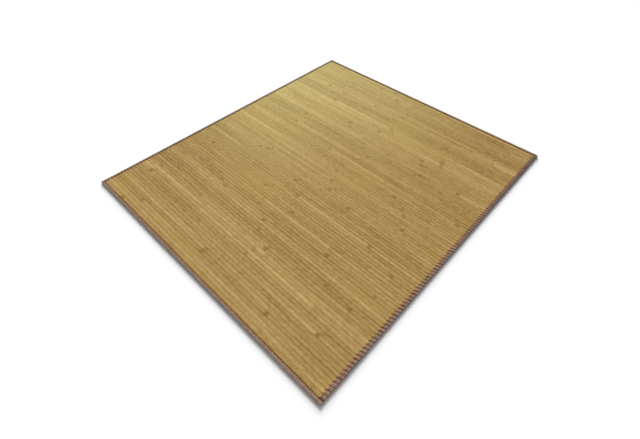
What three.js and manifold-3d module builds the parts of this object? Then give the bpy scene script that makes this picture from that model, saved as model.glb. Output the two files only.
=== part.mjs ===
// Flat bamboo floor rug. Long bamboo slats lie side by side, and narrow cloth tape is folded
// over all four edges. On the two sides the tape wraps the outermost slat whole; on the two
// ends it laps over the slat ends and is pinched down into every gap between two slats.
//
// Millimetres. X runs across the slats, Y along them, Z up. The origin is on the floor, under
// the middle of the rug.

import * as THREE from 'three';
import { mergeVertices } from 'three/addons/utils/BufferGeometryUtils.js';
import Module from 'manifold-3d';

const wasm = await Module();
wasm.setup();

// ---------------------------------------------------------------- driving dimensions

const RUG_WIDTH = 1219.2; // across the slats, 48 inches
const RUG_LENGTH = 1066.8; // along the slats, 42 inches

const SLAT_COUNT = 97;
const FIRST_JOINT = 11.4; // from a side to its first joint: the outermost slat is trimmed
const SLAT_THICKNESS = 4.5;
const SLAT_GAP = 0.5; // open joint between two slats
const SLAT_EASE = 0.5; // width of the eased long edge
const SLAT_EASE_DROP = 0.35; // how far that edge falls
const SLAT_CROWN = 0.1; // how much the middle of a slat stands above its shoulders
const WEB_THICKNESS = 1.0; // what joins the slats underneath

const TAPE_THICKNESS = 1.0;
const TAPE_FIT = 0.3; // clearance between the tape and what it wraps
const NEAR_TAPE_REACH = 16.0; // how far the near end tape laps in over the slat ends
const FAR_TAPE_REACH = 11.0; // the far one is sewn on narrower
const FOLD_RADIUS = 1.5; // outside radius where the tape folds over an edge
const CORNER_RADIUS = 2.0; // the rug's corners, seen from above
const ARC_SEGMENTS = 3;

const PINCH_WIDTH = 2.4; // a stitch pulls the end tape down into a gap: the dimple's width
const PINCH_DEPTH = 0.5;

// ---------------------------------------------------------------- worked-out sizes

const LINER = TAPE_THICKNESS + TAPE_FIT; // from a face of the rug to the slats inside it
const RUG_HEIGHT = SLAT_THICKNESS + 2 * LINER;
const PANEL_LENGTH = RUG_LENGTH - 2 * LINER;
const PANEL_WIDTH = RUG_WIDTH - 2 * LINER;
const SLAT_PITCH = (RUG_WIDTH - 2 * FIRST_JOINT) / (SLAT_COUNT - 2);

// The gap between slat index and the next one, and where a slat starts and ends.
const gapCentre = (index) => -RUG_WIDTH / 2 + FIRST_JOINT + index * SLAT_PITCH;
const slatLeft = (index) => (
  index === 0 ? -PANEL_WIDTH / 2 : gapCentre(index - 1) + SLAT_GAP / 2
);
const slatRight = (index) => (
  index === SLAT_COUNT - 1 ? PANEL_WIDTH / 2 : gapCentre(index) - SLAT_GAP / 2
);

const SIDE_TAPE_REACH = FIRST_JOINT - TAPE_FIT / 2; // up to the first gap
const END_TAPE_LENGTH = RUG_WIDTH - 2 * (SIDE_TAPE_REACH + TAPE_FIT);

// ---------------------------------------------------------------- colours

const BAMBOO = { color: 0xb2945c, roughness: 0.5, metalness: 0 };
const TAPE_CLOTH = { color: 0x8a685a, roughness: 0.85, metalness: 0 };

// ---------------------------------------------------------------- geometry helpers

// A closed solid that manifold-3d can join and cut.
function toSolid(geometry) {
  const bare = geometry.clone();
  bare.deleteAttribute('normal');
  bare.deleteAttribute('uv');
  const merged = mergeVertices(bare, 1e-4);
  return new wasm.Manifold(new wasm.Mesh({
    numProp: 3,
    vertProperties: new Float32Array(merged.attributes.position.array),
    triVerts: new Uint32Array(merged.index.array),
  }));
}

function toGeometry(solid) {
  const mesh = solid.getMesh();
  const geometry = new THREE.BufferGeometry();
  geometry.setAttribute('position', new THREE.BufferAttribute(mesh.vertProperties, 3));
  geometry.setIndex(new THREE.BufferAttribute(mesh.triVerts, 1));
  geometry.computeVertexNormals();
  return geometry;
}

// Extrudes an X-Z section along Y, centred on Y = 0.
function extrudeAlongY(section, length) {
  const geometry = new THREE.ExtrudeGeometry(section, {
    depth: length,
    bevelEnabled: false,
    curveSegments: ARC_SEGMENTS,
  });
  geometry.rotateX(Math.PI / 2);
  geometry.translate(0, length / 2, 0);
  return geometry;
}

// Extrudes an X-Y outline up from the floor.
function extrudeUp(outline, height) {
  return new THREE.ExtrudeGeometry(outline, {
    depth: height,
    bevelEnabled: false,
    curveSegments: ARC_SEGMENTS,
  });
}

function box(low, high) {
  const size = high.map((value, axis) => value - low[axis]);
  const geometry = new THREE.BoxGeometry(...size);
  geometry.translate(...low.map((value, axis) => value + size[axis] / 2));
  return geometry;
}

// A rectangle from (0, low) to (width, high) whose two corners on x = 0 are round.
function leftRoundedRectangle(width, low, high, radius) {
  const shape = new THREE.Shape();
  shape.moveTo(width, low);
  shape.lineTo(width, high);
  shape.lineTo(radius, high);
  shape.absarc(radius, high - radius, radius, Math.PI / 2, Math.PI, false);
  shape.lineTo(0, low + radius);
  shape.absarc(radius, low + radius, radius, Math.PI, 1.5 * Math.PI, false);
  shape.closePath();
  return shape;
}

// ---------------------------------------------------------------- the slats

// The section across all the slats: one flat underside, and a crowned top with eased edges and
// an open joint for each slat. The thin web under the joints keeps the slats one solid.
function slatPanel() {
  const base = LINER;
  const top = base + SLAT_THICKNESS;
  const web = base + WEB_THICKNESS;
  const section = new THREE.Shape();
  section.moveTo(-PANEL_WIDTH / 2, base);
  section.lineTo(PANEL_WIDTH / 2, base);
  for (let index = SLAT_COUNT - 1; index >= 0; index -= 1) {
    const right = slatRight(index);
    const left = slatLeft(index);
    if (index < SLAT_COUNT - 1) section.lineTo(right, web);
    section.lineTo(right, top - SLAT_EASE_DROP);
    section.lineTo(right - SLAT_EASE, top - SLAT_CROWN);
    section.lineTo((left + right) / 2, top);
    section.lineTo(left + SLAT_EASE, top - SLAT_CROWN);
    section.lineTo(left, top - SLAT_EASE_DROP);
    if (index > 0) section.lineTo(left, web);
  }
  section.closePath();
  return extrudeAlongY(section, PANEL_LENGTH);
}

// ---------------------------------------------------------------- the tapes

// Both tapes are made with their outer face on x = 0 and their length along Y, and are then
// turned to their own edge of the rug.

// The hollow that a folded tape wraps, open on the side away from its outer face.
function tapeHollow(reach, length) {
  const past = 1;
  return toSolid(box(
    [TAPE_THICKNESS, -length / 2, TAPE_THICKNESS],
    [reach + past, length / 2, RUG_HEIGHT - TAPE_THICKNESS],
  ));
}

// The side tape runs the whole length of the rug, and closes over both ends of the outermost slat.
function sideTape() {
  const fold = leftRoundedRectangle(SIDE_TAPE_REACH, 0, RUG_HEIGHT, FOLD_RADIUS);
  const folded = toSolid(extrudeAlongY(fold, RUG_LENGTH));

  const plan = leftRoundedRectangle(
    SIDE_TAPE_REACH, -RUG_LENGTH / 2, RUG_LENGTH / 2, CORNER_RADIUS,
  );
  const outline = toSolid(extrudeUp(plan, RUG_HEIGHT));

  const hollow = tapeHollow(SIDE_TAPE_REACH, RUG_LENGTH - 2 * TAPE_THICKNESS);
  return toGeometry(folded.intersect(outline).subtract(hollow));
}

// The end tape runs between the two side tapes. A wedge taken out of its top at each gap is the
// dimple that a stitch pulls: PINCH_WIDTH wide at the face of the tape, and on upwards past it.
function endTape(reach) {
  const fold = leftRoundedRectangle(reach, 0, RUG_HEIGHT, FOLD_RADIUS);
  const past = 1;
  let tape = toSolid(extrudeAlongY(fold, END_TAPE_LENGTH));
  tape = tape.subtract(tapeHollow(reach, END_TAPE_LENGTH + 2 * past));

  const wedge = new THREE.Shape();
  wedge.moveTo(-PINCH_DEPTH, 0);
  wedge.lineTo(PINCH_DEPTH, -PINCH_WIDTH);
  wedge.lineTo(PINCH_DEPTH, PINCH_WIDTH);
  wedge.closePath();
  for (let index = 1; index < SLAT_COUNT - 2; index += 1) {
    const pinch = extrudeUp(wedge, reach + 2 * past);
    pinch.rotateY(-Math.PI / 2);
    pinch.translate(reach + past, gapCentre(index), RUG_HEIGHT);
    tape = tape.subtract(toSolid(pinch));
  }
  return toGeometry(tape);
}

// ---------------------------------------------------------------- the rug

function piece(name, geometry, finish, place = {}) {
  const mesh = new THREE.Mesh(geometry, new THREE.MeshStandardMaterial(finish));
  mesh.name = name;
  mesh.position.set(place.x ?? 0, place.y ?? 0, 0);
  mesh.rotation.z = place.turn ?? 0;
  return mesh;
}

const rug = new THREE.Group();
rug.name = 'bamboo_rug';

rug.add(piece('slat_panel', slatPanel(), BAMBOO));

const sideGeometry = sideTape();
rug.add(piece('side_tape_left', sideGeometry, TAPE_CLOTH, { x: -RUG_WIDTH / 2 }));
rug.add(piece('side_tape_right', sideGeometry, TAPE_CLOTH, { x: RUG_WIDTH / 2, turn: Math.PI }));

const nearGeometry = endTape(NEAR_TAPE_REACH);
const farGeometry = endTape(FAR_TAPE_REACH);
rug.add(piece('end_tape_near', nearGeometry, TAPE_CLOTH, { y: -RUG_LENGTH / 2, turn: Math.PI / 2 }));
rug.add(piece('end_tape_far', farGeometry, TAPE_CLOTH, { y: RUG_LENGTH / 2, turn: -Math.PI / 2 }));

export default rug;
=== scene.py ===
# %% [markdown]
# # A flat bamboo floor rug
# The real rug is 97 long slats split from bamboo culms, planed flat and glued side by side
# on a thin backing cloth. A brown cloth tape is folded over all four edges. On the two
# sides it wraps the outermost slat whole and is sewn down along the first joint. On the two
# ends it laps over the slat ends, and a thread goes round it at every joint and pulls a
# small dimple into it.
#
# This lesson builds each of those pieces in the order in which a maker handles them. It
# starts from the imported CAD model, which fixes every size and place.

import math
import random

import bmesh
import bpy
from mathutils import Matrix, Vector


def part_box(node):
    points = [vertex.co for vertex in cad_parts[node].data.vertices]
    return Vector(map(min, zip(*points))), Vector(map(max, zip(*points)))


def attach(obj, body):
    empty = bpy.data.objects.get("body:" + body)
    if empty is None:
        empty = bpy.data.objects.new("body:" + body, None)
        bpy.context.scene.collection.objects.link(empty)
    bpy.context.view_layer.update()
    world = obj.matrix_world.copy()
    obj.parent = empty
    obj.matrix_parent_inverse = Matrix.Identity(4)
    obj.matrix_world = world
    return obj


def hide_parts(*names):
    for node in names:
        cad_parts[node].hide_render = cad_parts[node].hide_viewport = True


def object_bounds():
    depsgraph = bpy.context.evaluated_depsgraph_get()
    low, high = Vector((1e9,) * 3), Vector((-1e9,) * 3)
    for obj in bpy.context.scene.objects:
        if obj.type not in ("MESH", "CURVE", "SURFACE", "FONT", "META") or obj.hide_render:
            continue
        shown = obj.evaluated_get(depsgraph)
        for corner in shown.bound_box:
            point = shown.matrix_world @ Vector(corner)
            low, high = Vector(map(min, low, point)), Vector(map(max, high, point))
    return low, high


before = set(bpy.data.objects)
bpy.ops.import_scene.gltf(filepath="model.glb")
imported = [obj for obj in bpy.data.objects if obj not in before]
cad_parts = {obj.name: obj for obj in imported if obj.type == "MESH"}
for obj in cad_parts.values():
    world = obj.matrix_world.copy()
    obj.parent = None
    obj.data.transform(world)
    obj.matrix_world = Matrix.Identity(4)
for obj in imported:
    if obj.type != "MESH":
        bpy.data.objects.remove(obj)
cad_low, cad_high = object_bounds()
print("CAD box, metres:", [round(high - low, 4) for low, high in zip(cad_low, cad_high)])

# %% [markdown]
# ## Sizes
# Every place in this script comes from the boxes of the CAD nodes. Blender works in metres,
# while a rug maker thinks in millimetres, so the value MM turns one into the other. The side
# tape ends just short of the first joint, and the joints follow each other evenly from
# there, so the two outermost slats are trimmed to what the side tape wraps.

# %% Take the sizes from the CAD nodes
MM = 0.001
SLAT_COUNT = 97
JOINT = 0.5 * MM
TAPE_FIT = 0.3 * MM

panel_low, panel_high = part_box("slat_panel")
side_low, side_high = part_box("side_tape_left")
near_low, near_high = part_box("end_tape_near")
far_low, far_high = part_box("end_tape_far")

panel_width = panel_high.x - panel_low.x
panel_length = panel_high.y - panel_low.y
side_reach = side_high.x - side_low.x
end_reaches = {-1: near_high.y - near_low.y, 1: far_high.y - far_low.y}
rug_height = cad_high.z - cad_low.z
first_joint = side_high.x + TAPE_FIT / 2
last_joint = -first_joint
rug_length = cad_high.y - cad_low.y
rug_width = cad_high.x - cad_low.x
side_edges = {-1: cad_low.x, 1: cad_high.x}
end_edges = {-1: cad_low.y, 1: cad_high.y}
slat_pitch = (last_joint - first_joint) / (SLAT_COUNT - 2)


def joint_centre(index):
    """The middle of the open joint between a slat and the next one."""
    return first_joint + index * slat_pitch


def slat_sides(index):
    """Where a slat starts and ends across the rug, counted from the left side."""
    left = panel_low.x if index == 0 else joint_centre(index - 1) + JOINT / 2
    right = panel_high.x if index == SLAT_COUNT - 1 else joint_centre(index) - JOINT / 2
    return left, right


print(f"slat pitch {slat_pitch / MM:.3f} mm, side tape {side_reach / MM:.2f} mm wide")
print(f"end tapes {end_reaches[-1] / MM:.1f} and {end_reaches[1] / MM:.1f} mm wide")

# %% [markdown]
# ## Camera
# The rug is seen from about eye height of a person kneeling beside its near corner, with a
# wide lens. The camera is given a place and the two directions that fix its turn: where it
# looks and which way is up.

# %% Place the camera
CAMERA_PLACE = Vector((-0.7826, -0.6864, 0.9502))
CAMERA_LOOKS = Vector((0.47201, 0.43690, -0.76572))
CAMERA_UP = Vector((0.55418, 0.52845, 0.64314))

camera_data = bpy.data.cameras.new("camera")
camera_data.lens = 21.23
camera_data.sensor_width = 36.0
camera = bpy.data.objects.new("camera", camera_data)
link = bpy.context.scene.collection.objects.link
link(camera)
turn = Matrix((CAMERA_LOOKS.cross(CAMERA_UP), CAMERA_UP, -CAMERA_LOOKS)).transposed()
camera.matrix_world = Matrix.Translation(CAMERA_PLACE) @ turn.to_4x4()
bpy.context.scene.camera = camera
print("camera", round(CAMERA_PLACE.length, 3), "m from the middle of the rug")

# %% [markdown]
# ## Helpers for materials
# Colours are written as the sRGB hex codes that a paint chart gives. Shader nodes work in
# linear light, so one function turns a code into linear numbers. A second function adds a
# node, sets its values and draws its links, which keeps each material short to read. Five
# more build on it: they do a sum, blend two colours, draw a weave, raise a relief, and
# close a material with its surface.

# %% Define the colour and node helpers


def linear(code):
    """Turns an sRGB hex code into the linear colour that a shader needs."""
    channels = [int(code[place : place + 2], 16) / 255 for place in (0, 2, 4)]
    lit = [c / 12.92 if c <= 0.04045 else ((c + 0.055) / 1.055) ** 2.4 for c in channels]
    return (*lit, 1.0)


def add(tree, kind, inputs=None, stops=None, **settings):
    """Adds one node, with its settings, its input values or links, and its ramp stops."""
    node = tree.nodes.new(kind)
    for name, value in settings.items():
        setattr(node, name, value)
    for name, value in (inputs or {}).items():
        if isinstance(value, bpy.types.NodeSocket):
            tree.links.new(value, node.inputs[name])
        else:
            node.inputs[name].default_value = value
    if stops:
        elements = node.color_ramp.elements
        while len(elements) < len(stops):
            elements.new(1.0)
        for element, (place, colour) in zip(elements, stops):
            element.position = place
            element.color = colour
    return node


def new_material(name):
    """An empty node material, with its tree."""
    material = bpy.data.materials.new(name)
    material.use_nodes = True
    material.node_tree.nodes.clear()
    return material, material.node_tree


def compute(tree, operation, *values):
    """Adds one Math node on these numbers or links, and gives its result as a link."""
    return add(tree, "ShaderNodeMath", dict(enumerate(values)), operation=operation).outputs[0]


def blend(tree, share, below, above):
    """Covers one colour with a share of another, and gives the result as a link."""
    inputs = {0: share, 6: below, 7: above}
    return add(tree, "ShaderNodeMix", inputs, data_type="RGBA").outputs[2]


def add_weave(tree, vector, spacing):
    """Draws crossing threads: the product of a sine along X and a sine along Y."""
    turns = add(
        tree,
        "ShaderNodeVectorMath",
        {0: vector, 1: [2 * math.pi / spacing] * 3},
        operation="MULTIPLY",
    )
    axes = add(tree, "ShaderNodeSeparateXYZ", {0: turns.outputs[0]})
    warp = compute(tree, "SINE", axes.outputs["X"])
    weft = compute(tree, "SINE", axes.outputs["Y"])
    return compute(tree, "MULTIPLY", warp, weft)


def add_relief(tree, height, strength, depth):
    """Adds the Bump node of a relief this deep, and gives its normal as a link."""
    inputs = {"Height": height, "Strength": strength, "Distance": depth}
    return add(tree, "ShaderNodeBump", inputs).outputs[0]


def close_material(tree, values):
    """Ends a material with one surface that has these values."""
    surface = add(tree, "ShaderNodeBsdfPrincipled", values)
    add(tree, "ShaderNodeOutputMaterial", {"Surface": surface.outputs[0]})


print("helpers ready; mid straw is", [round(c, 3) for c in linear("B2945C")[:3]])

# %% [markdown]
# ## Floor, lights and sky
# The rug lies on a white studio floor. A broad low light stands behind the far corner, so
# the rug throws a narrow soft shadow towards the viewer, along its two near edges only. Two
# more lights there are seen in reflections only, and give the lacquer its warm sheen
# towards the far corner and the right side. A dim white sky fills the shadows.

# %% Lay the floor and set the lights
FLOOR_SIZE = 14.0
KEY_SOFTNESS = 39
SHEEN_SOFTNESS = 20
SHEEN_COLOUR = "F3FF9E"

floor_material, tree = new_material("white_studio_paper")
paper = add(tree, "ShaderNodeBsdfDiffuse", {"Color": linear("F4F4F4")})
add(tree, "ShaderNodeOutputMaterial", {"Surface": paper.outputs[0]})

floor_mesh = bpy.data.meshes.new("studio_floor")
shape = bmesh.new()
bmesh.ops.create_grid(shape, x_segments=1, y_segments=1, size=FLOOR_SIZE / 2)
shape.to_mesh(floor_mesh)
shape.free()
floor_mesh.materials.append(floor_material)
floor = bpy.data.objects.new("studio_floor", floor_mesh)
link(floor)


def add_sun(name, towards, colour, strength, softness, diffuse):
    """A distant light, softness degrees across, that is either diffuse or only reflected."""
    data = bpy.data.lights.new(name, "SUN")
    data.color = linear(colour)[:3]
    data.energy = strength
    data.angle = math.radians(softness)
    sun = bpy.data.objects.new(name, data)
    sun.rotation_mode = "QUATERNION"
    sun.rotation_quaternion = Vector(towards).to_track_quat("Z", "Y")
    sun.visible_glossy = not diffuse
    sun.visible_diffuse = diffuse
    link(sun)


add_sun("soft_key", (1.72, 1.72, 1.0), "FFFFFF", 6.6, KEY_SOFTNESS, True)
add_sun("far_sheen", (0.568, 0.676, 0.470), SHEEN_COLOUR, 0.295, SHEEN_SOFTNESS, False)
add_sun("right_sheen", (0.791, 0.457, 0.407), SHEEN_COLOUR, 0.2, SHEEN_SOFTNESS, False)

sky = bpy.data.worlds.new("dim_white_sky")
sky.use_nodes = True
sky.node_tree.nodes.clear()
glow = add(sky.node_tree, "ShaderNodeBackground", {"Color": linear("FFFFFF"), "Strength": 0.35})
add(sky.node_tree, "ShaderNodeOutputWorld", {"Surface": glow.outputs[0]})
bpy.context.scene.world = sky
bpy.context.scene.view_settings.view_transform = "Standard"
print("floor", FLOOR_SIZE, "m across, with three soft lights and a dim sky")

# %% [markdown]
# ## Putting a finished shape into the scene
# Each piece is built in its own bmesh, straight in the rug's place, so its object stays at
# the origin, unturned. One helper turns the bmesh into an object, gives it its material,
# shades it smooth except at real edges, tells the frame which body it rides on, and hides
# the CAD nodes that it stands for. A thread has six sides that meet at 60 degrees, so it
# needs a wider limit to look round. A second helper gives a sheet of cloth its thickness,
# and a third takes the next step of a slat or a thread, which both grow from one end.

# %% Define the helpers that finish a piece
SHARP_ANGLE = math.radians(38)
THREAD_SHARP_ANGLE = math.radians(70)


def finish_piece(shape, name, material, nodes, sharp_angle=SHARP_ANGLE):
    """Makes the object of a bmesh and ties it to the frame."""
    mesh = bpy.data.meshes.new(name)
    shape.to_mesh(mesh)
    shape.free()
    mesh.materials.append(material)
    mesh.shade_smooth()
    mesh.set_sharp_from_angle(angle=sharp_angle)
    piece = bpy.data.objects.new(name, mesh)
    link(piece)
    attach(piece, "root")
    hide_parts(*nodes)
    return piece


def give_thickness(piece, thickness):
    """Thickens a sheet of cloth behind its outer face, which keeps its place."""
    wall = piece.modifiers.new("cloth_thickness", "SOLIDIFY")
    wall.thickness = thickness
    wall.offset = -1


def extrude_end(shape, end):
    """Extrudes the end face of a bar, and gives its new ring of points and its new end."""
    grown = bmesh.ops.extrude_face_region(shape, geom=[end])["geom"]
    ring = [item for item in grown if isinstance(item, bmesh.types.BMVert)]
    return ring, next(item for item in grown if isinstance(item, bmesh.types.BMFace))


print("pieces are shaded smooth below", round(math.degrees(SHARP_ANGLE)), "degrees")

# %% [markdown]
# ## Bamboo, planed and lacquered
# A slat is a strip of the culm's wall, planed flat and given a thin matt lacquer. What the
# eye reads is: one shade for each length between two nodes, fine fibres that run the whole
# way, a darker smudge at each node, and here and there a green cast left by the skin.
#
# The shade, the nearness to a node and a number of its own are stored on each slat's mesh
# as attributes, because they belong to the strip and not to a place in space. The shade
# also carries painted light: a painted highlight down the middle of each slat and painted
# shade along its edges at the joints. The fibres are noise on Object coordinates, stretched
# along the slat. Bundles of fibre are about 0.7 mm wide, too fine to show from where the rug
# is seen, so a second noise draws them coarser, as the 3 mm streaks that they group into,
# and a third adds the short cloudy mottle that the lacquer brings out.

# %% Make the bamboo material
FIBRE_SIZE = (0.7 * MM, 60 * MM)
STREAK_SIZE = (3.0 * MM, 170 * MM)
MOTTLE_SIZE = (9 * MM, 14 * MM)
PATCH_SIZE = 260 * MM

bamboo, tree = new_material("lacquered_bamboo")
place = add(tree, "ShaderNodeTexCoord")
# Each slat's own shade, with its painted highlight and painted joint shade in it.
tone_and_painted_light = add(tree, "ShaderNodeAttribute", attribute_name="tone_and_painted_light")
node_mark = add(tree, "ShaderNodeAttribute", attribute_name="node")
own_number = add(tree, "ShaderNodeAttribute", attribute_name="own_number")


def add_slat_noise(size, values):
    """Noise in grains of this width and length, different on every slat."""
    grain_place = add(
        tree,
        "ShaderNodeMapping",
        {"Vector": place.outputs["Object"], "Scale": (1 / size[0], 1 / size[1], 0)},
    )
    inputs = {"Vector": grain_place.outputs[0], "W": own_number.outputs["Fac"], "Scale": 1}
    return add(tree, "ShaderNodeTexNoise", {**inputs, **values}, noise_dimensions="4D")


def swing(noise, amount):
    """Turns a noise of 0 to 1 into a swing of this amount about zero."""
    return compute(tree, "MULTIPLY_ADD", noise.outputs["Fac"], amount, -amount / 2)


fibre = add_slat_noise(FIBRE_SIZE, {"Detail": 3})
streak = add_slat_noise(STREAK_SIZE, {"Detail": 2})
mottle = add_slat_noise(MOTTLE_SIZE, {"Detail": 3, "Roughness": 0.7})
patch = add(
    tree,
    "ShaderNodeTexNoise",
    {"Vector": place.outputs["Object"], "Scale": 1 / PATCH_SIZE, "Detail": 2},
)

grain = compute(tree, "ADD", swing(streak, 0.8), swing(fibre, 0.5))
grain = compute(tree, "ADD", grain, swing(mottle, 0.9))
shade = compute(tree, "ADD", tone_and_painted_light.outputs["Fac"], grain)
straw = add(
    tree,
    "ShaderNodeValToRGB",
    {"Fac": shade},
    stops=[
        (0.0, linear("64450F")),
        (0.25, linear("8D6E37")),
        (0.5, linear("A1834B")),
        (0.7, linear("AF9159")),
        (1.0, linear("C5A870")),
    ],
)
green_share = add(
    tree,
    "ShaderNodeMapRange",
    {"Value": patch.outputs["Fac"], "From Min": 0.5, "From Max": 0.75, "To Max": 0.4},
)
skinned = blend(tree, green_share.outputs[0], straw.outputs["Color"], linear("A38B47"))
smudge = compute(tree, "MULTIPLY", node_mark.outputs["Fac"], streak.outputs["Fac"])
smudge_share = add(
    tree,
    "ShaderNodeMapRange",
    {"Value": smudge, "From Min": 0.1, "From Max": 0.5, "To Max": 0.85},
)
stained = blend(tree, smudge_share.outputs[0], skinned, linear("785724"))
fibre_relief = add_relief(tree, fibre.outputs["Fac"], 0.15, 0.1 * MM)
gloss = add(
    tree,
    "ShaderNodeMapRange",
    {"Value": fibre.outputs["Fac"], "To Min": 0.26, "To Max": 0.42},
)
close_material(
    tree,
    {
        "Base Color": stained,
        "Roughness": gloss.outputs[0],
        "IOR": 1.5,
        "Normal": fibre_relief,
    },
)
print("bamboo has", len(tree.nodes), "nodes")

# %% [markdown]
# ## Choosing the slats
# Slats split from one culm are laid beside each other, so their nodes nearly line up and
# drift a little from slat to slat, and their shades are related. Each culm therefore gets
# its own shade, node spacing and drift, and each of its slats varies from that. Planing
# takes most of a node's dark skin away, so only a few nodes keep a strong mark. A pale
# slat stands out more than a dark one, so the light side of the shades is stretched. Some
# slats get a deeper painted shade along their edges than others, and that painted shade
# stands for the shade in the joints. Each slat is widened until it all but touches the
# next one, and leans a little, so the joints are not all alike. All random numbers come
# from one seeded source, so every run gives the same rug.

# %% Choose a culm for every slat
SEED = 588542
CULM_SHADE, CULM_SPREAD = 0.472, 0.04
SLATS_PER_CULM = (1, 1, 2, 2, 3, 4)
SLAT_SPREAD = 0.048
LENGTH_SPREAD = 0.05
PALE_STRETCH = 4.0
NODE_SPACING = 300 * MM
CULM_SPACINGS = (0.85, 1.15)
NODE_STEPS = (0.93, 1.07)
DRIFTS = (4, 16)
FAINTEST_MARK = 0.2
TILT_SPREAD = 0.2
WIDENINGS = (0.38, 0.46)
JOINT_SHADE_RANGE = (0.4, 1.6)
OWN_NUMBERS = (0, 400)


def stretched(deviation):
    """Moves a pale shade further from the culm's shade than a dark one."""
    return deviation + PALE_STRETCH * deviation**2


chance = random.Random(SEED)
slats = []
while len(slats) < SLAT_COUNT:
    culm_shade = chance.gauss(CULM_SHADE, CULM_SPREAD)
    culm_spacing = chance.uniform(*CULM_SPACINGS) * NODE_SPACING
    culm_start = chance.uniform(0, culm_spacing)
    culm_drift = chance.choice((-1, 1)) * chance.uniform(*DRIFTS) * MM
    for turn_in_culm in range(chance.choice(SLATS_PER_CULM)):
        first = (culm_start + turn_in_culm * culm_drift) % culm_spacing
        nodes = []
        while first < panel_length:
            mark = FAINTEST_MARK + (1 - FAINTEST_MARK) * chance.random() ** 2
            nodes.append((panel_low.y + first, mark))
            first += culm_spacing * chance.uniform(*NODE_STEPS)
        slat_shift = chance.gauss(0, SLAT_SPREAD)
        shifts = [slat_shift + chance.gauss(0, LENGTH_SPREAD) for _ in range(len(nodes) + 1)]
        slats.append(
            {
                "nodes": nodes,
                "shades": [culm_shade + stretched(shift) for shift in shifts],
                "number": chance.uniform(*OWN_NUMBERS),
                "tilt": math.radians(chance.gauss(0, TILT_SPREAD)),
                "wider": chance.uniform(*WIDENINGS) * MM,
            }
        )
slats = slats[:SLAT_COUNT]
for slat in slats:
    # How deep this slat's painted edge shade is; it stands for the shade in its joints.
    slat["scorch"] = chance.uniform(*JOINT_SHADE_RANGE)
print(len(slats), "slats with", sum(len(slat["nodes"]) for slat in slats), "nodes in all")

# %% [markdown]
# ## Shaping one slat
# A slat has the same section all along: flat below, with eased long edges and a slight
# crown on top. The quickest true way to make it is to draw that section once and extrude it
# from station to station. Stations stand close together at a node, where the slat swells by
# a fraction of a millimetre, and far apart elsewhere, where it only wanders a little.
#
# Every station also writes the slat's attributes on its points. The middle of a slat is
# painted lighter than its shoulders, a painted highlight that stands for the light on a
# rounded top. Its edges are painted browner, a painted shade that draws the shade in each
# joint. Towards the right side of the rug that painted shade evens out: the lines fade,
# and a little of it spreads over the whole slat.
#
# The OFBake map gives the export a tidy place to bake the bamboo. Each slat has a strip of
# it. In that strip the top, the underside and the two edges have a row each, and the two
# end faces lie at either end of the top's row.

# %% Define the slat builder
SLAT_ATTRIBUTES = ("tone_and_painted_light", "node", "own_number")
BACKING_THICKNESS = 0.6 * MM
EASE_WIDTH = 0.8 * MM
EASE_DROP = 0.1 * MM
# Painted shade along each slat's edges, which draws the shade in the joints.
PAINTED_JOINT_SHADE = 0.37
EVENING = 0.9
SPREAD = 0.18
# A painted highlight down the middle of each slat and painted shade on its shoulders, for the
# light on a rounded top.
PAINTED_CROWN_LIGHT = 0.055
CROWN = 0.08 * MM
NODE_RISE = 0.12 * MM
WANDER = 0.05 * MM
STATION_STEP = 90 * MM
LONGEST_STEP = STATION_STEP * 1.3
NODE_STATIONS = ((-13, 0.0), (-6, 0.7), (0, 1.0), (6, 0.7), (13, 0.0))
TOP_ROW = (0.03, 0.62)
UNDER_ROW = (0.70, 0.12)
LEFT_ROW = (0.86, 0.05)
RIGHT_ROW = (0.93, 0.05)
END_ROW = (0.05, 0.6)


def slat_section(shape, middle, width, tilt):
    """Draws the end of a slat as one face, and leans it by its tilt."""
    low = panel_low.z + BACKING_THICKNESS
    high = panel_high.z - CROWN
    half = width / 2
    outline = (
        (-half, low),
        (half, low),
        (half, high + CROWN - EASE_DROP),
        (half - EASE_WIDTH, high),
        (0, high + CROWN),
        (EASE_WIDTH - half, high),
        (-half, high + CROWN - EASE_DROP),
    )
    corners = [shape.verts.new((middle + x, panel_low.y, z)) for x, z in outline]
    bmesh.ops.rotate(
        shape,
        verts=corners[2:],
        cent=(middle, panel_low.y, high),
        matrix=Matrix.Rotation(tilt, 3, "Y"),
    )
    return shape.faces.new(corners)


def slat_stations(slat):
    """Lists (place along the slat, nearness to a node, shade) in order."""
    shades = slat["shades"]
    stations = []
    for number, (node, mark) in enumerate(slat["nodes"]):
        for offset, nearness in NODE_STATIONS:
            shade_now = shades[number] if offset < 0 else shades[number + 1]
            if offset == 0:
                shade_now = (shades[number] + shades[number + 1]) / 2
            stations.append((node + offset * MM, nearness * mark, shade_now))
    stations = [s for s in stations if panel_low.y + MM < s[0] < panel_high.y - MM]
    last_shade = shades[0]
    filled = [(panel_low.y, 0.0, shades[0])]
    for station in stations + [(panel_high.y, 0.0, shades[-1])]:
        while station[0] - filled[-1][0] > LONGEST_STEP:
            filled.append((filled[-1][0] + STATION_STEP, 0.0, last_shade))
        filled.append(station)
        last_shade = station[2]
    return filled


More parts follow.
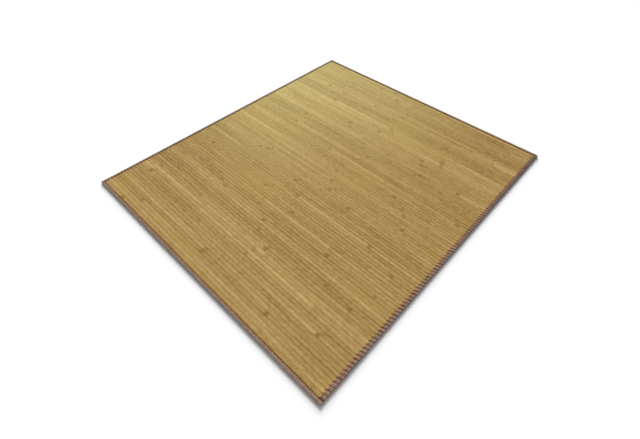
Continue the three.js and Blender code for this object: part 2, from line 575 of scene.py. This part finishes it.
def build_slat(shape, index, slat, strip, strips):
    """Extrudes one slat through its stations and writes its attributes and map."""
    layers = {name: shape.verts.layers.float[name] for name in SLAT_ATTRIBUTES}
    baked = shape.loops.layers.uv["OFBake"]
    left, right = slat_sides(index)
    middle = (left + right) / 2
    width = right - left + slat["wider"]
    front = slat_section(shape, middle, width, slat["tilt"])
    made = {front}
    # The painted joint shade fades towards the right side of the rug, and a little of it darkens
    # the whole slat there.
    evened = EVENING * max(middle, 0.0) / last_joint
    joint_shade_depth = slat["scorch"] * PAINTED_JOINT_SHADE * (1 - evened)
    spread = PAINTED_JOINT_SHADE * evened * SPREAD
    top_level = (panel_low.z + panel_high.z) / 2
    place_now, rise_now, side_now = panel_low.y, 0.0, 0.0
    ring = list(front.verts)
    for place_next, nearness, shade_next in slat_stations(slat):
        if place_next > place_now:
            ring, front = extrude_end(shape, front)
            made.add(front)
            made.update(face for vert in ring for face in vert.link_faces)
            side_next = chance.gauss(0, WANDER)
            step = (side_next - side_now, place_next - place_now, 0)
            bmesh.ops.translate(shape, verts=ring, vec=step)
            rise_next = nearness * NODE_RISE
            upper = [vert for vert in ring if vert.co.z > top_level]
            bmesh.ops.translate(shape, verts=upper, vec=(0, 0, rise_next - rise_now))
            place_now, rise_now, side_now = place_next, rise_next, side_next
        for vert in ring:
            across = abs(vert.co.x - middle - side_now) / (width / 2)
            # The eased edges and the sides of the slat get the painted joint shade.
            scorched = joint_shade_depth if across > 1 - EASE_WIDTH / width else 0.0
            # The middle gets the painted highlight, the shoulders a painted shade.
            crown_light = PAINTED_CROWN_LIGHT * (1 - evened) * (1 - 2 * across)
            vert[layers["tone_and_painted_light"]] = shade_next + crown_light - scorched - spread
            vert[layers["node"]] = nearness
            vert[layers["own_number"]] = slat["number"]
    made = [face for face in made if face.is_valid]
    bmesh.ops.recalc_face_normals(shape, faces=made)
    for face in made:
        map_slat_face(face, baked, middle, width, strip, strips)


def map_slat_face(face, baked, middle, width, strip, strips):
    """Lays one face into its row of its slat's strip of the bake map."""
    for loop in face.loops:
        across = (loop.vert.co.x - middle) / width + 0.5
        up = (loop.vert.co.z - panel_low.z) / (panel_high.z - panel_low.z)
        along = 0.01 + 0.98 * (loop.vert.co.y - panel_low.y) / panel_length
        if abs(face.normal.y) > 0.9:
            along = (0.0 if face.normal.y < 0 else 0.992) + 0.008 * up
            row, share = END_ROW, across
        elif face.normal.z > 0.3:
            row, share = TOP_ROW, across
        elif face.normal.z < -0.3:
            row, share = UNDER_ROW, across
        else:
            row, share = (LEFT_ROW if face.normal.x < 0 else RIGHT_ROW), up
        start, size = row
        loop[baked].uv = (along, (strip + (start + size * share)) / strips)


print("a slat is", round((slat_pitch - JOINT) / MM, 2), "mm wide before it is widened")

# %% [markdown]
# ## Laying all the slats
# The slats stay separate solids, but they are kept in twelve bundles, so that the scene has
# twelve bamboo pieces and not 97. Each bundle bakes to a picture of its own.

# %% Build the slats in bundles
BUNDLE_SIZE = 8

bundles = []
for first_slat in range(0, SLAT_COUNT - 1, BUNDLE_SIZE):
    last_slat = first_slat + BUNDLE_SIZE
    if SLAT_COUNT - last_slat < BUNDLE_SIZE:
        last_slat = SLAT_COUNT
    shape = bmesh.new()
    for attribute in SLAT_ATTRIBUTES:
        shape.verts.layers.float.new(attribute)
    shape.loops.layers.uv.new("OFBake")
    strips = last_slat - first_slat
    for index in range(first_slat, last_slat):
        build_slat(shape, index, slats[index], index - first_slat, strips)
    name = f"slat_bundle_{len(bundles) + 1:02d}"
    bundles.append(finish_piece(shape, name, bamboo, ["slat_panel"]))
print(len(bundles), "bundles,", sum(len(b.data.polygons) for b in bundles), "faces")

# %% [markdown]
# ## Backing cloth
# The slats are glued to an open cotton cloth that holds them side by side and lets the rug
# roll up. From above it is only the brown at the bottom of each joint; from below it is the
# whole back. It is a real sheet, so it is a flat grid with a thickness.

# %% Make the backing's material and lay the cloth
BACKING_THREAD = 1.6 * MM
BACKING_SQUARES = 24

backing_cotton, tree = new_material("woven_backing_cotton")
place = add(tree, "ShaderNodeTexCoord")
crossing = add_weave(tree, place.outputs["Object"], BACKING_THREAD)
backing_colour = add(
    tree,
    "ShaderNodeValToRGB",
    {"Fac": crossing},
    stops=[(0.0, linear("6E4C28")), (1.0, linear("8E6A3C"))],
)
backing_relief = add_relief(tree, crossing, 0.6, 0.2 * MM)
close_material(
    tree,
    {
        "Base Color": backing_colour.outputs["Color"],
        "Roughness": 0.9,
        "Sheen Weight": 0.2,
        "Normal": backing_relief,
    },
)

shape = bmesh.new()
bmesh.ops.create_grid(
    shape, x_segments=BACKING_SQUARES, y_segments=BACKING_SQUARES, size=0.5
)
bmesh.ops.scale(shape, vec=(panel_width, panel_length, 1), verts=shape.verts)
bmesh.ops.translate(shape, vec=(0, 0, panel_low.z + BACKING_THICKNESS), verts=shape.verts)
backing = finish_piece(shape, "backing_cloth", backing_cotton, ["slat_panel"])
give_thickness(backing, BACKING_THICKNESS)
print("backing", [round(side / MM, 1) for side in backing.dimensions[:2]], "mm")

# %% [markdown]
# ## Tape cloth
# The edging is a cotton tape, dyed a reddish brown, and it is painted a lighter greyish
# mauve wherever it stands proud: a painted highlight. An attribute of the tape's mesh holds
# that painted light: it is lowest in the stitched grooves and along the seams, where it
# paints their shade, and on the end tapes it also takes in a tan dye on the inner part. A
# second attribute is a painted grey shade on the outer edge of the tape.
#
# The tape's threads are about 0.5 mm apart, which is too fine to show, so the weave is
# drawn at 1.2 mm, together with a slow unevenness of the dye. Cotton fuzz gives it a soft
# sheen, so the shader's own sheen does that. The weave follows the tape round its folds, so
# it reads the tape's own map, which is laid out in millimetres.

# %% Make the tape's material
TAPE_THREAD = 1.2
DYE_PATCH = 9 * MM

tape_cotton, tree = new_material("dyed_cotton_tape")
cloth_map = add(tree, "ShaderNodeUVMap", uv_map="cloth_mm")
# The painted light of the tape's relief: lighter where it stands proud, darker in its grooves and
# seams.
painted_light_and_dye = add(tree, "ShaderNodeAttribute", attribute_name="painted_light_and_dye")
# The painted grey shade on the tape's outer edge.
painted_edge_shade = add(tree, "ShaderNodeAttribute", attribute_name="painted_edge_shade")
place = add(tree, "ShaderNodeTexCoord")
crossing = add_weave(tree, cloth_map.outputs[0], TAPE_THREAD)
dye = add(
    tree,
    "ShaderNodeTexNoise",
    {"Vector": place.outputs["Object"], "Scale": 1 / DYE_PATCH, "Detail": 2, "Roughness": 0.4},
)
blotch = add(
    tree,
    "ShaderNodeMapRange",
    {"Value": dye.outputs["Fac"], "From Min": 0.3, "From Max": 0.7, "To Min": 0.4, "To Max": 0.6},
)
dyed_weave = compute(tree, "MULTIPLY_ADD", crossing, 0.06, blotch.outputs[0])
tape_shade = compute(tree, "MULTIPLY_ADD", painted_light_and_dye.outputs["Fac"], 0.4, dyed_weave)
tape_colour = add(
    tree,
    "ShaderNodeValToRGB",
    {"Fac": tape_shade},
    stops=[
        (0.48, linear("5A3024")),
        (0.62, linear("7A563E")),
        (0.74, linear("8A684E")),
        (0.84, linear("8C7161")),
        (0.92, linear("8F7C70")),
        (1.0, linear("96877C")),
    ],
)
# The grey of the painted shade on the tape's outer edge.
edge_shade_colour = linear("4D3F35")
edge_shaded_colour = blend(tree, painted_edge_shade.outputs["Fac"], tape_colour.outputs["Color"], edge_shade_colour)
tape_relief = add_relief(tree, crossing, 0.5, 0.15 * MM)
close_material(
    tree,
    {
        "Base Color": edge_shaded_colour,
        "Roughness": 0.8,
        "Sheen Weight": 0.2,
        "Sheen Roughness": 0.4,
        "Sheen Tint": linear("D9C3BC"),
        "Normal": tape_relief,
    },
)
print("tape cloth has", len(tree.nodes), "nodes")

# %% [markdown]
# ## Folding a flat tape
# The maker starts from a flat tape and folds it round the edge, and so does this cell. A
# flat grid has one column for each station along the rug and one row for each step across
# the tape. Before it is folded, its flat place is written to its map in millimetres. Then
# each point is carried to its place on the fold: over the top, round the edge, underneath.

# %% Define the tape folding helpers
TAPE_THICKNESS = 1.0 * MM
TAPE_CROWN = 0.05 * MM
FOLD_RADIUS = 1.5 * MM
FOLD_STEPS = 3
# How far in from the outer edge the painted grey edge shade reaches.
EDGE_SHADE_DEPTH = 22 * MM


def fold_arc(middle_z, start):
    """Points of a quarter turn, from start degrees on, as (inset from the edge, height)."""
    turns = [math.radians(start + 90 * step / FOLD_STEPS) for step in range(FOLD_STEPS + 1)]
    return [
        (FOLD_RADIUS * (1 + math.cos(turn)), middle_z + FOLD_RADIUS * math.sin(turn))
        for turn in turns
    ]


def tape_profile(top_points, bottom_points):
    """Joins the tape's top, its two folds and its underside into one line of points."""
    upper = fold_arc(rug_height - FOLD_RADIUS, 90)
    lower = fold_arc(FOLD_RADIUS, 180)
    return top_points + upper + [(0.0, rug_height / 2)] + lower + bottom_points


def run_lengths(points):
    """How far along the line of points each one lies."""
    lengths = [0.0]
    for here, there in zip(points, points[1:]):
        lengths.append(lengths[-1] + math.dist(here, there))
    return lengths


def edge_shade_across(inset):
    """How much of the painted edge shade reaches a place this far in from the outer edge."""
    return max(0.0, 1 - inset / EDGE_SHADE_DEPTH)


def fold_tape(stations, profile, put, strips):
    """A flat grid of cloth, mapped flat, then folded and given its painted light and painted edge
    shade by the function put.
    """
    shape = bmesh.new()
    light_and_dye_layer = shape.verts.layers.float.new("painted_light_and_dye")
    edge_shade_layer = shape.verts.layers.float.new("painted_edge_shade")
    columns, rows = len(stations) - 1, len(profile) - 1
    bmesh.ops.create_grid(shape, x_segments=columns, y_segments=rows, size=0.5)
    cloth = shape.loops.layers.uv.new("cloth_mm")
    baked = shape.loops.layers.uv.new("OFBake")
    across = run_lengths(profile)
    length = stations[-1] - stations[0]

    def cell(vert):
        return round((vert.co.x + 0.5) * columns), round((vert.co.y + 0.5) * rows)

    for face in shape.faces:
        middle = sum(stations[cell(loop.vert)[0]] for loop in face.loops) / len(face.loops)
        strip = int((middle - stations[0]) / length * strips)
        for loop in face.loops:
            column, row = cell(loop.vert)
            along = stations[column] - stations[0]
            loop[cloth].uv = (along / MM, across[row] / MM)
            part = along / length * strips - strip
            part_across = 0.04 + 0.92 * across[row] / across[-1]
            loop[baked].uv = (0.01 + 0.98 * part, (strip + part_across) / strips)
    for vert in shape.verts:
        column, row = cell(vert)
        vert.co, vert[light_and_dye_layer], vert[edge_shade_layer] = put(stations[column], *profile[row])
    shape.normal_update()
    highest = max(shape.faces, key=lambda face: face.calc_center_median().z)
    if highest.normal.z < 0:
        bmesh.ops.reverse_faces(shape, faces=shape.faces)
    return shape, across[-1]


print("a fold turns in", FOLD_STEPS, "steps on a radius of", FOLD_RADIUS / MM, "mm")

# %% [markdown]
# ## Side tapes
# A side tape wraps the outermost slat whole. Its upper edge is sewn down into the first
# open joint, so it rolls over and dips there: HEM_CURVE draws that roll, in shares of its
# width and of its dip. Near the ends of the rug the seam runs out flat, because there the
# end tape's own stitches hold it.
#
# Both ends of the tape are closed like a pocket, by filling the open fold with a face and
# rounding its rim. Last of all, both ends are drawn in along a quarter circle, which rounds
# the rug's corners.

# %% Fold the side tapes
HEM_DIP = 1.4 * MM
HEM_WIDTH = 2.5 * MM
HEM_CURVE = ((0.0, 1.0), (0.25, 0.9), (0.6, 0.5), (1.0, 0.05))
HEM_END = 1.6
# Painted shade along the seam: how light the tape is painted at the seam on each side, and how
# fast that rises away from it.
SEAM_LIGHTS = {-1: 0.0, 1: 0.3}
SEAM_LIGHT_RISE = 0.45
# Painted grey edge shade on the side tapes, at the near and the far end of each, and how fast it
# fades along them.
SIDE_EDGE_SHADES = {-1: (0.0, 0.15), 1: (0.6, 0.0)}
EDGE_SHADE_FADE = {-1: 1.0, 1: 0.04}
CORNER_ROUND = 3.0 * MM
CORNER_STATIONS = (0.0, 1.0, 3.0, 11.0, 17.0)
SIDE_STEP = 24 * MM
RIPPLE = 0.08 * MM
POCKET_RADIUS = 0.6 * MM
NEARLY_ZERO = 1e-6
SIDE_STRIPS = 8

tapes = {}


def make_side_tape(name, side):
    """Folds one side tape; side is -1 for the left edge and 1 for the right one."""
    edge = side_edges[side]
    top_points = [
        (side_reach - share * HEM_WIDTH, rug_height - drop * HEM_DIP)
        for share, drop in HEM_CURVE
    ]
    top_points.append((side_reach - HEM_END * HEM_WIDTH, rug_height + TAPE_CROWN))
    profile = tape_profile(top_points, [(side_reach / 2, 0.0), (side_reach, 0.0)])
    steps = round(rug_length / SIDE_STEP)
    stations = [cad_low.y + rug_length * step / steps for step in range(1, steps)]
    ends = [offset * MM for offset in CORNER_STATIONS]
    stations = [cad_low.y + offset for offset in ends] + stations
    stations += [cad_high.y - offset for offset in reversed(ends)]
    ripples = {station: chance.gauss(0, RIPPLE) for station in stations}

    def put(station, inset, height):
        loose = ripples[station] if 0 < height else 0.0
        from_seam = max(side_reach - inset, 0) / HEM_WIDTH if height > rug_height / 2 else 2.0
        seam = min(1.0, min(station - cad_low.y, cad_high.y - station) / end_reaches[1])
        if height > rug_height / 2 and inset > FOLD_RADIUS:
            height = max(height, rug_height - seam * (rug_height - height))
        folded = Vector((edge - side * (inset + loose), station, height + loose / 2))
        # Painted shade in the seam, which lifts away from it.
        seam_light = SEAM_LIGHTS[side] + (1 - SEAM_LIGHTS[side]) * min(1.0, SEAM_LIGHT_RISE * from_seam)
        # Painted grey shade on the outer edge, fading along the tape.
        near_shade, far_shade = SIDE_EDGE_SHADES[side]
        part = min(1.0, (station - cad_low.y) / EDGE_SHADE_FADE[side])
        edge_shade = (near_shade + (far_shade - near_shade) * part) * edge_shade_across(inset)
        return folded, min(1.0, seam_light + 1 - seam), edge_shade

    shape, girth = fold_tape(stations, profile, put, SIDE_STRIPS)
    for end in end_edges.values():
        rim = [
            line
            for line in shape.edges
            if line.is_boundary
            and all(abs(vert.co.y - end) < NEARLY_ZERO for vert in line.verts)
        ]
        bmesh.ops.contextual_create(shape, geom=rim)
        bmesh.ops.bevel(
            shape,
            geom=rim,
            offset=POCKET_RADIUS,
            offset_type="OFFSET",
            segments=2,
            profile=0.5,
            affect="EDGES",
            material=-1,
        )
    for vert in shape.verts:
        from_end = min(vert.co.y - cad_low.y, cad_high.y - vert.co.y)
        left_over = CORNER_ROUND - min(max(from_end, 0.0), CORNER_ROUND)
        rounding = CORNER_ROUND - math.sqrt(CORNER_ROUND**2 - left_over**2)
        vert.co.x -= side * rounding * (1 - abs(edge - vert.co.x) / side_reach)
    node = name.replace("folded", "side")
    tapes[name] = finish_piece(shape, name, tape_cotton, [node])
    give_thickness(tapes[name], TAPE_THICKNESS)


make_side_tape("folded_tape_left", -1)
make_side_tape("folded_tape_right", 1)

# %% [markdown]
# ## End tapes
# An end tape laps over the slat ends. A thread goes round it at each joint, which pulls a
# groove across the top, the edge and the underside, and leaves a small pillow between two
# joints. The grooves lean, because the thread travels along the rug while it goes round.
# The inner edge of the tape is scalloped, because the thread draws it in at the joints only.
# Eight columns of the grid serve one joint: close together in the groove, far apart on
# the pillow. Both ends of the tape are tucked a little way under the side tapes. The two
# end tapes are not alike: the far one is narrower, with a lighter painted shade in its
# grooves, and only the near one has a painted grey shade on its outer edge, mostly towards
# the right.

# %% Fold the end tapes
GROOVE_DEPTH = 0.9 * MM
GROOVE_WIDTH = 1.9 * MM
GROOVE_COLUMNS = (-3.6, -1.9, -0.9, 0.0, 0.9, 1.9, 3.6)
PULLS = (0.5, 1.15)
EDGE_PULL = 0.6
PILLOW_RISE = 0.3 * MM
PUFFS = (0.5, 1.2)
PILLOW_SPREAD = 4
LIP = ((0.0, 0.45), (0.9, 0.1))
SCALLOPS = {-1: 2.2 * MM, 1: 3.0 * MM}
LEAN = 3.0 * MM
TUCK = 0.8 * MM
TUCK_DROP = 0.4 * MM
GROOVE_SHADES = {-1: 0.65, 1: 0.3}
SHADE_SPREAD = 1.4
MIDDLE_SHADE, SHADE_FALL = 0.8, 0.6
INNER_DYES = {-1: 0.5, 1: 0.2}
EDGE_RUB = 2.0 * MM
# Painted grey edge shade on the end tapes, strongest towards the right.
END_EDGE_SHADES = {-1: 0.95, 1: 0.0}
EDGE_SHADE_REACH = 0.6
END_STRIPS = 8

tape_joints = [joint_centre(index) for index in range(1, SLAT_COUNT - 2)]


def end_stations():
    """The tape's columns: seven at each joint and one on the middle of each pillow."""
    stations = [near_low.x, first_joint + slat_pitch / 2]
    for joint in tape_joints:
        stations += [joint + offset * MM for offset in GROOVE_COLUMNS]
        stations.append(joint + slat_pitch / 2)
    return stations + [near_high.x]


def make_end_tape(name, end):
    """Folds one end tape; end is -1 for the near edge and 1 for the far one."""
    edge = end_edges[end]
    end_reach = end_reaches[end]
    top_points = [(end_reach - back * MM, rug_height - down * MM) for back, down in LIP]
    top_points.append((end_reach * 0.6, rug_height))
    top_points.append((end_reach * 0.3, rug_height + TAPE_CROWN))
    profile = tape_profile(top_points, [(end_reach / 2, 0.0), (end_reach, 0.0)])
    stations = end_stations()
    pulls = {joint: chance.uniform(*PULLS) for joint in tape_joints}
    puffs = {joint: chance.uniform(*PUFFS) for joint in tape_joints}

    def put(station, inset, height):
        nearest = min(tape_joints, key=lambda joint: abs(joint - station))
        away = (station - nearest) / GROOVE_WIDTH
        from_end = min(station - stations[0], stations[-1] - station) / GROOVE_WIDTH
        pull = GROOVE_DEPTH * pulls[nearest] * math.exp(-away * away)
        puff = PILLOW_RISE * puffs[nearest] * (1 - math.exp(-away * away / PILLOW_SPREAD))
        tuck = 0.0
        if station in (stations[0], stations[-1]):
            pull, puff = TUCK_DROP, 0.0
            tuck = math.copysign(TUCK, station)
        slats_in = min(max(station - first_joint, 0), max(last_joint - station, 0)) / slat_pitch
        lean = -end * LEAN * min(slats_in, 1) * min(1, (end_reach - inset) / end_reach)
        if height > rug_height / 2 + MM:
            height = height - pull + puff
            loose = (1 - math.exp(-away * away)) * (1 - math.exp(-from_end * from_end))
            inset -= SCALLOPS[end] * loose * (inset / end_reach) ** 3
        elif height < FOLD_RADIUS:
            height = height + EDGE_PULL * pull
        if inset < FOLD_RADIUS:
            inset = inset + EDGE_PULL * pull - puff
        # Painted shade in each stitched groove.
        groove = GROOVE_SHADES[end] * pulls[nearest] * math.exp(-away * away / SHADE_SPREAD)
        groove *= MIDDLE_SHADE - SHADE_FALL * station / rug_width
        dyed = INNER_DYES[end] * max(inset - EDGE_RUB, 0) / end_reach
        # Painted light: full on the pillows, less in the grooves and on the tan-dyed inner part.
        painted_light_and_dye = max(0.0, 1.0 - groove - dyed)
        # Painted grey shade on the outer edge, growing towards the right.
        edge_shade = END_EDGE_SHADES[end] * math.exp((station - cad_high.x) / EDGE_SHADE_REACH)
        folded = Vector((station + lean + tuck, edge - end * inset, height))
        return folded, painted_light_and_dye, edge_shade * edge_shade_across(inset)

    shape, girth = fold_tape(stations, profile, put, END_STRIPS)
    node = "end_tape_near" if end < 0 else "end_tape_far"
    tapes[name] = finish_piece(shape, name, tape_cotton, [node])
    give_thickness(tapes[name], TAPE_THICKNESS)


make_end_tape("pinched_tape_near", -1)
make_end_tape("pinched_tape_far", 1)

# %% [markdown]
# ## Sewing thread
# Waxed thread in a dark brown, between 1.2 and 1.5 mm thick. Two plies are twisted
# together, and the twist shows as slanting bands, so a sine on each thread's own map gives
# both its shade and its relief. That map, named thread_turns, holds the millimetres along
# the thread and the turns round it.

# %% Make the thread's material
PLIES = 2
TWIST_PITCH = 4.5

waxed_thread, tree = new_material("waxed_sewing_thread")
thread_map = add(tree, "ShaderNodeUVMap", uv_map="thread_turns")
axes = add(tree, "ShaderNodeSeparateXYZ", {0: thread_map.outputs[0]})
twist = compute(tree, "MULTIPLY_ADD", axes.outputs["X"], 1 / TWIST_PITCH, axes.outputs["Y"])
wave = compute(tree, "SINE", compute(tree, "MULTIPLY", twist, PLIES * 2 * math.pi))
band = compute(tree, "MULTIPLY_ADD", wave, 0.5, 0.5)
thread_colour = add(
    tree,
    "ShaderNodeValToRGB",
    {"Fac": band},
    stops=[(0.0, linear("381C13")), (1.0, linear("5E3123"))],
)
thread_relief = add_relief(tree, band, 0.5, 0.15 * MM)
close_material(
    tree,
    {
        "Base Color": thread_colour.outputs["Color"],
        "Roughness": 0.6,
        "Normal": thread_relief,
    },
)
print("thread has", len(tree.nodes), "nodes")

# %% [markdown]
# ## Stitches
# Every stitch is the same short tube of thread, swept along a few points: a circle is laid
# across the path and extruded from point to point. Hundreds of them are needed, so one has
# only a few dozen faces. All the stitches of one edge make one piece. The sweep remembers
# how far along and on which side each point lies, and that fills two maps: the one that the
# twist reads, and a bake map in which every stitch has a cell of its own, with the two
# end faces as small rings at either end of it.

# %% Define the thread sweep
THREAD_SIDES = 6


def bake_cell(number, total, columns):
    """The cell of the bake map that one stitch of the total gets: low corner and size."""
    rows = math.ceil(total / columns)
    column, row = divmod(number, rows)
    return column / columns, row / rows, 1 / columns, 1 / rows


def map_thread(shape, faces, places, cell):
    """Lays the faces of one stitch on the twist's map and into its cell of the bake map."""
    turned = shape.loops.layers.uv["thread_turns"]
    baked = shape.loops.layers.uv["OFBake"]
    length = max(along for along, _ in places.values())
    low_u, low_v, cell_width, cell_height = cell
    for face in faces:
        sides = {places[loop.vert][1] for loop in face.loops}
        for loop in face.loops:
            along, side = places[loop.vert]
            closes = side == 0 and sides == {0, THREAD_SIDES - 1}
            turn = 1.0 if closes else side / THREAD_SIDES
            loop[turned].uv = (along / MM, turn)
            if len(sides) > 2:
                angle = 2 * math.pi * turn
                share_u = 0.02 + 0.96 * along / length + 0.015 * math.cos(angle)
                share_v = 0.5 + 0.4 * math.sin(angle)
            else:
                share_u = 0.05 + 0.9 * along / length
                share_v = 0.04 + 0.92 * turn
            loop[baked].uv = (low_u + cell_width * share_u, low_v + cell_height * share_v)


def sweep_thread(shape, path, radius, cell):
    """Extrudes a small circle along the path, closes its ends and writes its maps."""
    points = [Vector(point) for point in path]
    directions = [
        (points[min(i + 1, len(points) - 1)] - points[max(i - 1, 0)]).normalized()
        for i in range(len(points))
    ]
    across = Vector((0, 0, 1)).cross(directions[0]).normalized()
    if across.length < 0.5:
        across = Vector((1, 0, 0))
    frame_now = Matrix((across, directions[0].cross(across), directions[0])).transposed()
    made = bmesh.ops.create_circle(shape, cap_ends=True, segments=THREAD_SIDES, radius=radius)
    ring = made["verts"]
    cap = ring[0].link_faces[0]
    bmesh.ops.transform(
        shape, verts=ring, matrix=Matrix.Translation(points[0]) @ frame_now.to_4x4()
    )
    faces = {cap}
    places = {vert: (0.0, side) for side, vert in enumerate(ring)}
    along = 0.0
    for number in range(1, len(points)):
        ring, cap = extrude_end(shape, cap)
        along += (points[number] - points[number - 1]).length
        sides = {}
        for vert in ring:
            others = [edge.other_vert(vert) for edge in vert.link_edges]
            sides[vert] = next(places[other][1] for other in others if other in places)
        places.update({vert: (along, side) for vert, side in sides.items()})
        bend = directions[number - 1].rotation_difference(directions[number])
        move = (
            Matrix.Translation(points[number])
            @ bend.to_matrix().to_4x4()
            @ Matrix.Translation(-points[number - 1])
        )
        bmesh.ops.transform(shape, verts=ring, matrix=move)
        faces.update(face for vert in ring for face in vert.link_faces)
    faces = [face for face in faces if face.is_valid]
    bmesh.ops.recalc_face_normals(shape, faces=faces)
    map_thread(shape, faces, places, cell)


def new_thread_shape():
    """An empty bmesh with the two maps of a thread."""
    shape = bmesh.new()
    for name in ("thread_turns", "OFBake"):
        shape.loops.layers.uv.new(name)
    return shape


print("a thread has", THREAD_SIDES, "sides")

# %% [markdown]
# ## Whip stitches on the two ends
# Each stitch comes up out of a joint just inside the tape, lies in the groove, goes over
# the edge and returns underneath. The first and last joints have one too, where the side
# tape meets the end tape. No groove is pulled there, so that stitch lies proud. The path
# lists each point as (share of the lean, distance in from the edge, height).

# %% Sew the end tapes
END_THREAD_RADIUS = 0.6 * MM
THREAD_SIZES = (0.9, 1.1)
LEAST_SUNK = GROOVE_DEPTH - 0.15 * MM
SINKING = 0.5 * MM
CORNER_PROUD = 0.25 * MM
END_CELL_COLUMNS = 2


def make_end_stitches(name, end):
    """Sews one end; end is -1 for the near edge and 1 for the far one."""
    edge = end_edges[end]
    end_reach = end_reaches[end]
    shape = new_thread_shape()
    joints = [first_joint] + tape_joints + [last_joint]
    for number, joint in enumerate(joints):
        corner = joint in (first_joint, last_joint)
        shift = 0.0 if corner else -end * LEAN
        sunk = 0.0 if corner else LEAST_SUNK + SINKING * joint / rug_width
        level = rug_height + 0.1 * MM - sunk
        proud = CORNER_PROUD if corner else 0.0
        path = [
            (0.0, end_reach + 1.6 * MM, panel_high.z - 1.6 * MM),
            (0.0, end_reach + 0.7 * MM, level - 0.5 * MM),
            (0.0, end_reach - 0.6 * MM, level),
            (0.45, end_reach * 0.55, level + 0.05 * MM),
            (0.85, 2.2 * MM, level),
            (1.0, 0.8 * MM - proud, level - 0.7 * MM + proud),
            (1.0, 0.25 * MM - proud, rug_height / 2),
            (1.0, 0.9 * MM - proud, 1.1 * MM - proud),
            (0.85, 2.6 * MM, END_THREAD_RADIUS),
            (0.0, end_reach, END_THREAD_RADIUS),
        ]
        points = [(joint + share * shift, edge - end * inset, z) for share, inset, z in path]
        cell = bake_cell(number, len(joints), END_CELL_COLUMNS)
        sweep_thread(shape, points, END_THREAD_RADIUS * chance.uniform(*THREAD_SIZES), cell)
    return finish_piece(shape, name, waxed_thread, [], THREAD_SHARP_ANGLE)


end_stitches = [
    make_end_stitches("whip_stitches_near", -1),
    make_end_stitches("whip_stitches_far", 1),
]
print("end stitches have", len(end_stitches[0].data.polygons), "faces on each end")

# %% [markdown]
# ## Running stitches along the two sides
# The side tape is sewn down with a running stitch beside the first joint. Each stitch
# comes up through the tape, lies flat for most of its length and goes down again.

# %% Sew the side tapes
SIDE_THREAD_RADIUS = 0.75 * MM
SEAM_INSETS = {-1: 0.5 * MM, 1: 1.1 * MM}
STITCH_STEP = 6.0 * MM
STITCH_LENGTH = 5.0 * MM
ARCH = ((1.0, 0.75), (0.85, 0.3), (0.5, 0.03))
STITCH_ARCH = [(-share, drop * MM) for share, drop in ARCH]
STITCH_ARCH += [(share, drop * MM) for share, drop in reversed(ARCH)]
SEAM_LEVEL = rug_height - 0.7 * HEM_DIP + 0.4 * MM
SIDE_CELL_COLUMNS = 8


def make_side_stitches(name, side):
    """Sews one side; side is -1 for the left edge and 1 for the right one."""
    edge = side_edges[side]
    line_x = edge - side * (side_reach - SEAM_INSETS[side])
    start = cad_low.y + end_reaches[-1]
    count = int((cad_high.y - end_reaches[1] - start) / STITCH_STEP)
    shape = new_thread_shape()
    for number in range(count):
        middle = start + (number + 0.5) * STITCH_STEP
        points = [
            (line_x, middle + share * STITCH_LENGTH / 2, SEAM_LEVEL - drop)
            for share, drop in STITCH_ARCH
        ]
        cell = bake_cell(number, count, SIDE_CELL_COLUMNS)
        sweep_thread(shape, points, SIDE_THREAD_RADIUS, cell)
    return finish_piece(shape, name, waxed_thread, [], THREAD_SHARP_ANGLE)


side_stitches = [
    make_side_stitches("seam_stitches_left", -1),
    make_side_stitches("seam_stitches_right", 1),
]
print("side seams have", len(side_stitches[0].data.polygons), "faces each")

# %% [markdown]
# ## The cloth
# The tapes were cut as long strips and folded, and the backing was cut to the panel and
# laid flat.

print("declared", 1 + len(tapes), "sheets")
